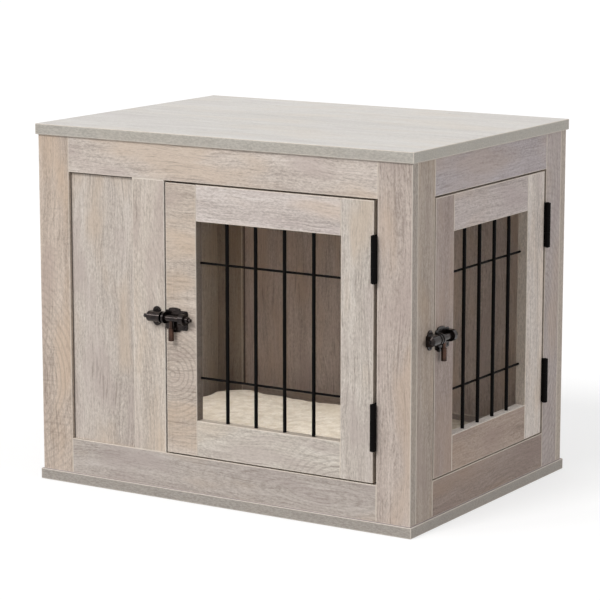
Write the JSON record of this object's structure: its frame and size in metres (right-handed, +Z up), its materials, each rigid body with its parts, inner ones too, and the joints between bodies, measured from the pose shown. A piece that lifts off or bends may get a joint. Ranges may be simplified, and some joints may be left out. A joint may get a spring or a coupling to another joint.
{
  "type": "dog crate end table",
  "caption": "End-table dog crate in framed boards, with barred front and side doors on butt hinges, barrel bolts and a floor cushion.",
  "frame": {"origin": "centre of the base's underside, on the floor", "axes": "+X towards the barred side door, -Y towards the front door, +Z up"},
  "size_m": [0.622, 0.46, 0.512],
  "materials": {
    "greywashed_wood": "matt grey-beige printed oak grain",
    "black_steel": "satin black paint",
    "black_bronze": "dark bronze with a soft sheen",
    "plush_fabric": "cream short-pile plush"
  },
  "bodies": {
    "cabinet": {"top_panel": "greywashed_wood", "base_panel": "greywashed_wood", "cushion": "plush_fabric", "front_left_stile": "greywashed_wood", "front_right_stile": "greywashed_wood", "front_middle_stile": "greywashed_wood", "front_bottom_rail": "greywashed_wood", "front_top_rail": "greywashed_wood", "front_fixed_panel": "greywashed_wood", "back_left_stile": "greywashed_wood", "back_right_stile": "greywashed_wood", "back_bottom_rail": "greywashed_wood", "back_top_rail": "greywashed_wood", "back_panel": "greywashed_wood", "left_front_stile": "greywashed_wood", "left_rear_stile": "greywashed_wood", "left_bottom_rail": "greywashed_wood", "left_top_rail": "greywashed_wood", "left_panel": "greywashed_wood", "right_rear_stile": "greywashed_wood", "right_front_stile": "greywashed_wood", "right_bottom_rail": "greywashed_wood", "right_top_rail": "greywashed_wood", "front_hinge_frame_leaves": "black_steel", "front_hinge_pins": "black_steel", "side_hinge_frame_leaves": "black_steel", "side_hinge_pins": "black_steel", "latch_keepers": "black_bronze"},
    "front_door": {"front_door_hinge_stile": "greywashed_wood", "front_door_latch_stile": "greywashed_wood", "front_door_bottom_rail": "greywashed_wood", "front_door_top_rail": "greywashed_wood", "front_door_bars": "black_steel", "front_door_cross_wires": "black_steel", "front_hinge_door_leaves": "black_steel", "front_latch_plate": "black_bronze"},
    "side_door": {"side_door_hinge_stile": "greywashed_wood", "side_door_latch_stile": "greywashed_wood", "side_door_bottom_rail": "greywashed_wood", "side_door_top_rail": "greywashed_wood", "side_door_bars": "black_steel", "side_door_cross_wires": "black_steel", "side_hinge_door_leaves": "black_steel", "side_latch_plate": "black_bronze"},
    "front_bolt": {"front_latch_bolt": "black_bronze", "front_latch_handle": "black_bronze"},
    "side_bolt": {"side_latch_bolt": "black_bronze", "side_latch_handle": "black_bronze"}
  },
  "joints": [
    {"name": "front_door_hinge", "type": "hinge", "parent": "cabinet", "child": "front_door", "pos_m": [0.24725, -0.2255, 0.256], "axis": [0, 0, 1], "range_deg": [0, 180]},
    {"name": "side_door_hinge", "type": "hinge", "parent": "cabinet", "child": "side_door", "pos_m": [0.3065, 0.15825, 0.256], "axis": [0, 0, 1], "range_deg": [0, 180]},
    {"name": "front_bolt_slide", "type": "slide", "parent": "front_door", "child": "front_bolt", "axis": [-1, 0, 0], "range_m": [0, 0.0065]},
    {"name": "side_bolt_slide", "type": "slide", "parent": "side_door", "child": "side_bolt", "axis": [0, -1, 0], "range_m": [0, 0.0065]}
  ]
}
